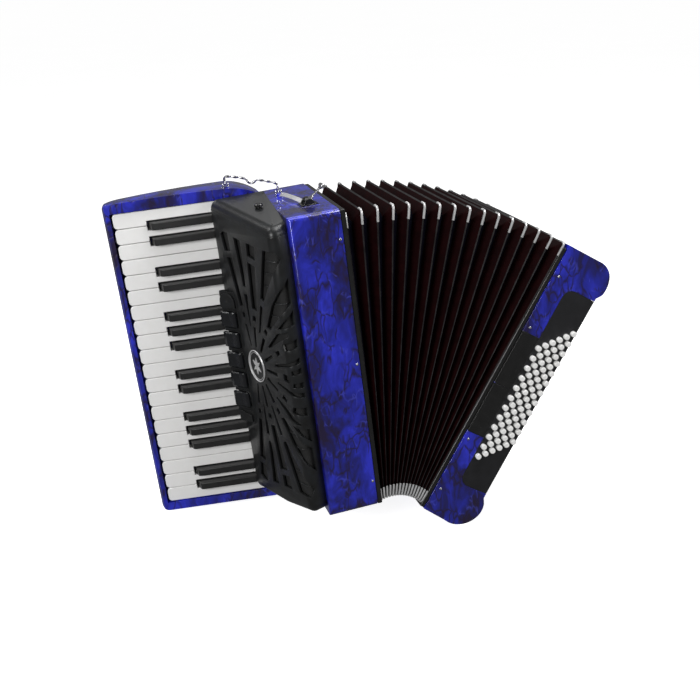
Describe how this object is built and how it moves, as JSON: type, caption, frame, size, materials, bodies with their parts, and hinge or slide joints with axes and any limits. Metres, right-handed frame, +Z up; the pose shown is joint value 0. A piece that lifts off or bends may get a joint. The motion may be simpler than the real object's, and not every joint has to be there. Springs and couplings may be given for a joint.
{
  "type": "piano accordion",
  "caption": "Piano accordion standing half open: keyboard and grille side, fanned bellows, bass side with button board, strap and clasps.",
  "frame": {"origin": "centre of the bounding box at its base, on the surface the instrument stands on", "axes": "+X from the keyboard side to the bass side, +Y from the front to the player's side, +Z up"},
  "size_m": [0.5934, 0.1858, 0.4424],
  "materials": {
    "blue_pearl": "deep blue pearl celluloid, polished",
    "black_plastic": "satin black moulded plastic",
    "white_key": "polished ivory-white",
    "black_key": "polished black",
    "register": "glossy black",
    "steel": "drawn steel",
    "chrome": "bright chrome",
    "wood": "planed hardwood",
    "bellows_cloth": "black bellows cloth on card with dark red leather folds",
    "leather": "black leather",
    "button": "polished ivory-white"
  },
  "bodies": {
    "treble": {"treble_casing": "blue_pearl", "keyboard_bed": "blue_pearl", "key_axle_rod": "steel", "treble_grille": "black_plastic", "register_housing": "black_plastic", "treble_reed_blocks": "wood", "bellows_frame_treble": "black_plastic", "bellows": "bellows_cloth"},
    "bass": {"bellows_frame_bass": "black_plastic", "bass_casing": "blue_pearl", "bass_button_board": "black_plastic", "bass_reed_blocks": "wood", "bass_strap": "leather"},
    "white_key_01": {"white_key_01": "white_key"},
    "white_key_02": {"white_key_02": "white_key"},
    "white_key_03": {"white_key_03": "white_key"},
    "white_key_04": {"white_key_04": "white_key"},
    "white_key_05": {"white_key_05": "white_key"},
    "white_key_06": {"white_key_06": "white_key"},
    "white_key_07": {"white_key_07": "white_key"},
    "white_key_08": {"white_key_08": "white_key"},
    "white_key_09": {"white_key_09": "white_key"},
    "white_key_10": {"white_key_10": "white_key"},
    "white_key_11": {"white_key_11": "white_key"},
    "white_key_12": {"white_key_12": "white_key"},
    "white_key_13": {"white_key_13": "white_key"},
    "white_key_14": {"white_key_14": "white_key"},
    "white_key_15": {"white_key_15": "white_key"},
    "white_key_16": {"white_key_16": "white_key"},
    "white_key_17": {"white_key_17": "white_key"},
    "white_key_18": {"white_key_18": "white_key"},
    "white_key_19": {"white_key_19": "white_key"},
    "white_key_20": {"white_key_20": "white_key"},
    "black_key_01": {"black_key_01": "black_key"},
    "black_key_02": {"black_key_02": "black_key"},
    "black_key_03": {"black_key_03": "black_key"},
    "black_key_04": {"black_key_04": "black_key"},
    "black_key_05": {"black_key_05": "black_key"},
    "black_key_06": {"black_key_06": "black_key"},
    "black_key_07": {"black_key_07": "black_key"},
    "black_key_08": {"black_key_08": "black_key"},
    "black_key_09": {"black_key_09": "black_key"},
    "black_key_10": {"black_key_10": "black_key"},
    "black_key_11": {"black_key_11": "black_key"},
    "black_key_12": {"black_key_12": "black_key"},
    "black_key_13": {"black_key_13": "black_key"},
    "black_key_14": {"black_key_14": "black_key"},
    "register_switch_1": {"register_switch_1": "register"},
    "register_switch_2": {"register_switch_2": "register"},
    "register_switch_3": {"register_switch_3": "register"},
    "register_switch_4": {"register_switch_4": "register"},
    "register_switch_5": {"register_switch_5": "register"},
    "bass_buttons_inner_rows": {"bass_buttons_inner_rows": "button"},
    "bass_buttons_middle_rows": {"bass_buttons_middle_rows": "button"},
    "bass_buttons_outer_rows": {"bass_buttons_outer_rows": "button"},
    "strap_wheel": {"strap_wheel": "black_plastic"},
    "air_button": {"air_button": "button"},
    "strap_bracket": {"strap_bracket": "chrome"},
    "bellows_clasp_top": {"bellows_clasp_top": "chrome"},
    "bellows_clasp_bottom": {"bellows_clasp_bottom": "chrome"}
  },
  "joints": [
    {"name": "bellows_fan", "type": "hinge", "parent": "treble", "child": "bass", "pos_m": [0.02662, -0.0023, 0.04167], "axis": [0, 1, 0], "range_deg": [-36, 8], "deforming": ["bellows"]},
    {"name": "white_key_01_press", "type": "hinge", "parent": "treble", "child": "white_key_01", "pos_m": [-0.13618, 0.04817, 0.21972], "axis": [0.108, 0, -0.9942], "range_deg": [0, 1.7], "stiffness_Nm_per_rad": 0.8, "springref_deg": -6.88},
    {"name": "white_key_02_press", "type": "hinge", "parent": "treble", "child": "white_key_02", "pos_m": [-0.13618, 0.04817, 0.21972], "axis": [0.108, 0, -0.9942], "range_deg": [0, 1.7], "stiffness_Nm_per_rad": 0.8, "springref_deg": -6.88},
    {"name": "white_key_03_press", "type": "hinge", "parent": "treble", "child": "white_key_03", "pos_m": [-0.13618, 0.04817, 0.21972], "axis": [0.108, 0, -0.9942], "range_deg": [0, 1.7], "stiffness_Nm_per_rad": 0.8, "springref_deg": -6.88},
    {"name": "white_key_04_press", "type": "hinge", "parent": "treble", "child": "white_key_04", "pos_m": [-0.13618, 0.04817, 0.21972], "axis": [0.108, 0, -0.9942], "range_deg": [0, 1.7], "stiffness_Nm_per_rad": 0.8, "springref_deg": -6.88},
    {"name": "white_key_05_press", "type": "hinge", "parent": "treble", "child": "white_key_05", "pos_m": [-0.13618, 0.04817, 0.21972], "axis": [0.108, 0, -0.9942], "range_deg": [0, 1.7], "stiffness_Nm_per_rad": 0.8, "springref_deg": -6.88},
    {"name": "white_key_06_press", "type": "hinge", "parent": "treble", "child": "white_key_06", "pos_m": [-0.13618, 0.04817, 0.21972], "axis": [0.108, 0, -0.9942], "range_deg": [0, 1.7], "stiffness_Nm_per_rad": 0.8, "springref_deg": -6.88},
    {"name": "white_key_07_press", "type": "hinge", "parent": "treble", "child": "white_key_07", "pos_m": [-0.13618, 0.04817, 0.21972], "axis": [0.108, 0, -0.9942], "range_deg": [0, 1.7], "stiffness_Nm_per_rad": 0.8, "springref_deg": -6.88},
    {"name": "white_key_08_press", "type": "hinge", "parent": "treble", "child": "white_key_08", "pos_m": [-0.13618, 0.04817, 0.21972], "axis": [0.108, 0, -0.9942], "range_deg": [0, 1.7], "stiffness_Nm_per_rad": 0.8, "springref_deg": -6.88},
    {"name": "white_key_09_press", "type": "hinge", "parent": "treble", "child": "white_key_09", "pos_m": [-0.13618, 0.04817, 0.21972], "axis": [0.108, 0, -0.9942], "range_deg": [0, 1.7], "stiffness_Nm_per_rad": 0.8, "springref_deg": -6.88},
    {"name": "white_key_10_press", "type": "hinge", "parent": "treble", "child": "white_key_10", "pos_m": [-0.13618, 0.04817, 0.21972], "axis": [0.108, 0, -0.9942], "range_deg": [0, 1.7], "stiffness_Nm_per_rad": 0.8, "springref_deg": -6.88},
    {"name": "white_key_11_press", "type": "hinge", "parent": "treble", "child": "white_key_11", "pos_m": [-0.13618, 0.04817, 0.21972], "axis": [0.108, 0, -0.9942], "range_deg": [0, 1.7], "stiffness_Nm_per_rad": 0.8, "springref_deg": -6.88},
    {"name": "white_key_12_press", "type": "hinge", "parent": "treble", "child": "white_key_12", "pos_m": [-0.13618, 0.04817, 0.21972], "axis": [0.108, 0, -0.9942], "range_deg": [0, 1.7], "stiffness_Nm_per_rad": 0.8, "springref_deg": -6.88},
    {"name": "white_key_13_press", "type": "hinge", "parent": "treble", "child": "white_key_13", "pos_m": [-0.13618, 0.04817, 0.21972], "axis": [0.108, 0, -0.9942], "range_deg": [0, 1.7], "stiffness_Nm_per_rad": 0.8, "springref_deg": -6.88},
    {"name": "white_key_14_press", "type": "hinge", "parent": "treble", "child": "white_key_14", "pos_m": [-0.13618, 0.04817, 0.21972], "axis": [0.108, 0, -0.9942], "range_deg": [0, 1.7], "stiffness_Nm_per_rad": 0.8, "springref_deg": -6.88},
    {"name": "white_key_15_press", "type": "hinge", "parent": "treble", "child": "white_key_15", "pos_m": [-0.13618, 0.04817, 0.21972], "axis": [0.108, 0, -0.9942], "range_deg": [0, 1.7], "stiffness_Nm_per_rad": 0.8, "springref_deg": -6.88},
    {"name": "white_key_16_press", "type": "hinge", "parent": "treble", "child": "white_key_16", "pos_m": [-0.13618, 0.04817, 0.21972], "axis": [0.108, 0, -0.9942], "range_deg": [0, 1.7], "stiffness_Nm_per_rad": 0.8, "springref_deg": -6.88},
    {"name": "white_key_17_press", "type": "hinge", "parent": "treble", "child": "white_key_17", "pos_m": [-0.13618, 0.04817, 0.21972], "axis": [0.108, 0, -0.9942], "range_deg": [0, 1.7], "stiffness_Nm_per_rad": 0.8, "springref_deg": -6.88},
    {"name": "white_key_18_press", "type": "hinge", "parent": "treble", "child": "white_key_18", "pos_m": [-0.13618, 0.04817, 0.21972], "axis": [0.108, 0, -0.9942], "range_deg": [0, 1.7], "stiffness_Nm_per_rad": 0.8, "springref_deg": -6.88},
    {"name": "white_key_19_press", "type": "hinge", "parent": "treble", "child": "white_key_19", "pos_m": [-0.13618, 0.04817, 0.21972], "axis": [0.108, 0, -0.9942], "range_deg": [0, 1.7], "stiffness_Nm_per_rad": 0.8, "springref_deg": -6.88},
    {"name": "white_key_20_press", "type": "hinge", "parent": "treble", "child": "white_key_20", "pos_m": [-0.13618, 0.04817, 0.21972], "axis": [0.108, 0, -0.9942], "range_deg": [0, 1.7], "stiffness_Nm_per_rad": 0.8, "springref_deg": -6.88},
    {"name": "black_key_01_press", "type": "hinge", "parent": "treble", "child": "black_key_01", "pos_m": [-0.13618, 0.04817, 0.21972], "axis": [0.108, 0, -0.9942], "range_deg": [0, 2.2], "stiffness_Nm_per_rad": 0.8, "springref_deg": -6.88},
    {"name": "black_key_02_press", "type": "hinge", "parent": "treble", "child": "black_key_02", "pos_m": [-0.13618, 0.04817, 0.21972], "axis": [0.108, 0, -0.9942], "range_deg": [0, 2.2], "stiffness_Nm_per_rad": 0.8, "springref_deg": -6.88},
    {"name": "black_key_03_press", "type": "hinge", "parent": "treble", "child": "black_key_03", "pos_m": [-0.13618, 0.04817, 0.21972], "axis": [0.108, 0, -0.9942], "range_deg": [0, 2.2], "stiffness_Nm_per_rad": 0.8, "springref_deg": -6.88},
    {"name": "black_key_04_press", "type": "hinge", "parent": "treble", "child": "black_key_04", "pos_m": [-0.13618, 0.04817, 0.21972], "axis": [0.108, 0, -0.9942], "range_deg": [0, 2.2], "stiffness_Nm_per_rad": 0.8, "springref_deg": -6.88},
    {"name": "black_key_05_press", "type": "hinge", "parent": "treble", "child": "black_key_05", "pos_m": [-0.13618, 0.04817, 0.21972], "axis": [0.108, 0, -0.9942], "range_deg": [0, 2.2], "stiffness_Nm_per_rad": 0.8, "springref_deg": -6.88},
    {"name": "black_key_06_press", "type": "hinge", "parent": "treble", "child": "black_key_06", "pos_m": [-0.13618, 0.04817, 0.21972], "axis": [0.108, 0, -0.9942], "range_deg": [0, 2.2], "stiffness_Nm_per_rad": 0.8, "springref_deg": -6.88},
    {"name": "black_key_07_press", "type": "hinge", "parent": "treble", "child": "black_key_07", "pos_m": [-0.13618, 0.04817, 0.21972], "axis": [0.108, 0, -0.9942], "range_deg": [0, 2.2], "stiffness_Nm_per_rad": 0.8, "springref_deg": -6.88},
    {"name": "black_key_08_press", "type": "hinge", "parent": "treble", "child": "black_key_08", "pos_m": [-0.13618, 0.04817, 0.21972], "axis": [0.108, 0, -0.9942], "range_deg": [0, 2.2], "stiffness_Nm_per_rad": 0.8, "springref_deg": -6.88},
    {"name": "black_key_09_press", "type": "hinge", "parent": "treble", "child": "black_key_09", "pos_m": [-0.13618, 0.04817, 0.21972], "axis": [0.108, 0, -0.9942], "range_deg": [0, 2.2], "stiffness_Nm_per_rad": 0.8, "springref_deg": -6.88},
    {"name": "black_key_10_press", "type": "hinge", "parent": "treble", "child": "black_key_10", "pos_m": [-0.13618, 0.04817, 0.21972], "axis": [0.108, 0, -0.9942], "range_deg": [0, 2.2], "stiffness_Nm_per_rad": 0.8, "springref_deg": -6.88},
    {"name": "black_key_11_press", "type": "hinge", "parent": "treble", "child": "black_key_11", "pos_m": [-0.13618, 0.04817, 0.21972], "axis": [0.108, 0, -0.9942], "range_deg": [0, 2.2], "stiffness_Nm_per_rad": 0.8, "springref_deg": -6.88},
    {"name": "black_key_12_press", "type": "hinge", "parent": "treble", "child": "black_key_12", "pos_m": [-0.13618, 0.04817, 0.21972], "axis": [0.108, 0, -0.9942], "range_deg": [0, 2.2], "stiffness_Nm_per_rad": 0.8, "springref_deg": -6.88},
    {"name": "black_key_13_press", "type": "hinge", "parent": "treble", "child": "black_key_13", "pos_m": [-0.13618, 0.04817, 0.21972], "axis": [0.108, 0, -0.9942], "range_deg": [0, 2.2], "stiffness_Nm_per_rad": 0.8, "springref_deg": -6.88},
    {"name": "black_key_14_press", "type": "hinge", "parent": "treble", "child": "black_key_14", "pos_m": [-0.13618, 0.04817, 0.21972], "axis": [0.108, 0, -0.9942], "range_deg": [0, 2.2], "stiffness_Nm_per_rad": 0.8, "springref_deg": -6.88},
    {"name": "register_switch_1_press", "type": "hinge", "parent": "treble", "child": "register_switch_1", "pos_m": [-0.14122, 0.0127, 0.16426], "axis": [0.108, 0, -0.9942], "range_deg": [0, 7], "stiffness_Nm_per_rad": 0.05, "springref_deg": -11.46},
    {"name": "register_switch_2_press", "type": "hinge", "parent": "treble", "child": "register_switch_2", "pos_m": [-0.14409, 0.0127, 0.1907], "axis": [0.108, 0, -0.9942], "range_deg": [0, 7], "stiffness_Nm_per_rad": 0.05, "springref_deg": -11.46},
    {"name": "register_switch_3_press", "type": "hinge", "parent": "treble", "child": "register_switch_3", "pos_m": [-0.14696, 0.0127, 0.21715], "axis": [0.108, 0, -0.9942], "range_deg": [0, 7], "stiffness_Nm_per_rad": 0.05, "springref_deg": -11.46},
    {"name": "register_switch_4_press", "type": "hinge", "parent": "treble", "child": "register_switch_4", "pos_m": [-0.14983, 0.0127, 0.24359], "axis": [0.108, 0, -0.9942], "range_deg": [0, 7], "stiffness_Nm_per_rad": 0.05, "springref_deg": -11.46},
    {"name": "register_switch_5_press", "type": "hinge", "parent": "treble", "child": "register_switch_5", "pos_m": [-0.15271, 0.0127, 0.27003], "axis": [0.108, 0, -0.9942], "range_deg": [0, 7], "stiffness_Nm_per_rad": 0.05, "springref_deg": -11.46},
    {"name": "bass_buttons_inner_rows_press", "type": "slide", "parent": "bass", "child": "bass_buttons_inner_rows", "axis": [0, 1, 0], "range_m": [0, 0.003], "stiffness_N_per_m": 900, "springref_m": -0.002},
    {"name": "bass_buttons_middle_rows_press", "type": "slide", "parent": "bass", "child": "bass_buttons_middle_rows", "axis": [0, 1, 0], "range_m": [0, 0.003], "stiffness_N_per_m": 900, "springref_m": -0.002},
    {"name": "bass_buttons_outer_rows_press", "type": "slide", "parent": "bass", "child": "bass_buttons_outer_rows", "axis": [0, 1, 0], "range_m": [0, 0.003], "stiffness_N_per_m": 900, "springref_m": -0.002},
    {"name": "strap_wheel_turn", "type": "hinge", "parent": "bass", "child": "strap_wheel", "pos_m": [0.28572, 0.0237, 0.297], "axis": [0, 1, 0], "continuous": true},
    {"name": "air_button_press", "type": "slide", "parent": "bass", "child": "air_button", "axis": [-0.8674, 0, 0.4976], "range_m": [0, 0.004], "stiffness_N_per_m": 400, "springref_m": -0.003},
    {"name": "strap_bracket_swing", "type": "hinge", "parent": "treble", "child": "strap_bracket", "pos_m": [-0.15054, 0.0477, 0.4299], "axis": [0.9734, -0.1557, -0.1683], "range_deg": [-75, 75]},
    {"name": "bellows_clasp_top_swing", "type": "hinge", "parent": "treble", "child": "bellows_clasp_top", "pos_m": [-0.07006, -0.0383, 0.42054], "axis": [0, 1, 0], "range_deg": [-60, 34]},
    {"name": "bellows_clasp_bottom_swing", "type": "hinge", "parent": "treble", "child": "bellows_clasp_bottom", "pos_m": [-0.02848, -0.0383, 0.03779], "axis": [0, 1, 0], "range_deg": [0, 40]}
  ]
}
